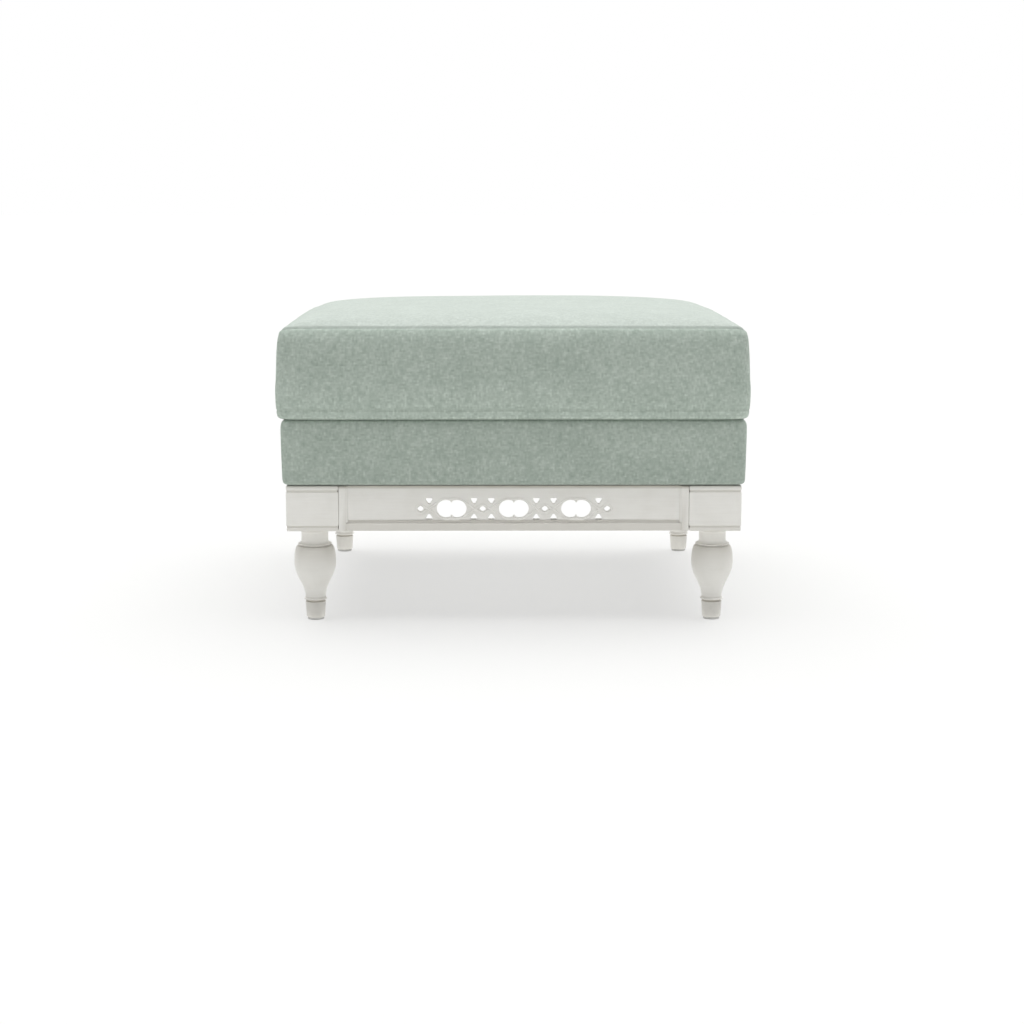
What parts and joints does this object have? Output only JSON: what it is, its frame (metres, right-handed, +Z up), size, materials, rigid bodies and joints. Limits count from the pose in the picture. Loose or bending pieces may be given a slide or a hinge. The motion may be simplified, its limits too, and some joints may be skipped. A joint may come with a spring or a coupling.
{
  "type": "ottoman",
  "caption": "Square ottoman: a loose box cushion with a sewn top edge on an upholstered seat box, over a painted plinth with pierced aprons and turned baluster legs.",
  "frame": {"origin": "on the floor under the centre of the square plan", "axes": "+Z up, -Y towards the front, +X to the right seen from the front"},
  "size_m": [0.7, 0.7, 0.4623],
  "materials": {
    "painted_wood": "satin",
    "upholstery": "matte",
    "dust_cloth": "matte",
    "foam": "matte",
    "wadding": "matte",
    "raw_wood": "matte",
    "steel": "satin",
    "spring_steel": "satin",
    "glide_nylon": "matte",
    "zip_tape": "matte"
  },
  "bodies": {
    "stool": {"glide_front_left": "glide_nylon", "leg_front_left": "painted_wood", "leg_bolt_front_left": "steel", "tee_nut_front_left": "steel", "post_front_left": "painted_wood", "corner_block_front_left": "raw_wood", "glide_front_right": "glide_nylon", "leg_front_right": "painted_wood", "leg_bolt_front_right": "steel", "tee_nut_front_right": "steel", "post_front_right": "painted_wood", "corner_block_front_right": "raw_wood", "glide_rear_right": "glide_nylon", "leg_rear_right": "painted_wood", "leg_bolt_rear_right": "steel", "tee_nut_rear_right": "steel", "post_rear_right": "painted_wood", "corner_block_rear_right": "raw_wood", "glide_rear_left": "glide_nylon", "leg_rear_left": "painted_wood", "leg_bolt_rear_left": "steel", "tee_nut_rear_left": "steel", "post_rear_left": "painted_wood", "corner_block_rear_left": "raw_wood", "apron_front": "painted_wood", "fret_panel_front": "painted_wood", "apron_right": "painted_wood", "fret_panel_right": "painted_wood", "apron_rear": "painted_wood", "fret_panel_rear": "painted_wood", "apron_left": "painted_wood", "fret_panel_left": "painted_wood", "seat_rail_front": "raw_wood", "seat_rail_right": "raw_wood", "seat_rail_rear": "raw_wood", "seat_rail_left": "raw_wood", "spring_1": "spring_steel", "spring_clip_front_1": "glide_nylon", "spring_clip_rear_1": "glide_nylon", "spring_2": "spring_steel", "spring_clip_front_2": "glide_nylon", "spring_clip_rear_2": "glide_nylon", "spring_3": "spring_steel", "spring_clip_front_3": "glide_nylon", "spring_clip_rear_3": "glide_nylon", "spring_4": "spring_steel", "spring_clip_front_4": "glide_nylon", "spring_clip_rear_4": "glide_nylon", "spring_insulator": "wadding", "deck_foam": "foam", "edge_foam": "foam", "seat_box_cover": "upholstery", "dust_cloth": "dust_cloth"},
    "cushion": {"cushion_cover": "upholstery", "cushion_core": "foam", "cushion_topper": "wadding", "zip_chain": "zip_tape"},
    "zip_pull": {"zip_slider": "steel"}
  },
  "joints": [
    {"name": "cushion_lift", "type": "slide", "parent": "stool", "child": "cushion", "axis": [0, 0, 1], "range_m": [0, 0.15]},
    {"name": "zip_run", "type": "slide", "parent": "cushion", "child": "zip_pull", "axis": [1, 0, 0], "range_m": [0, 0.51]}
  ]
}
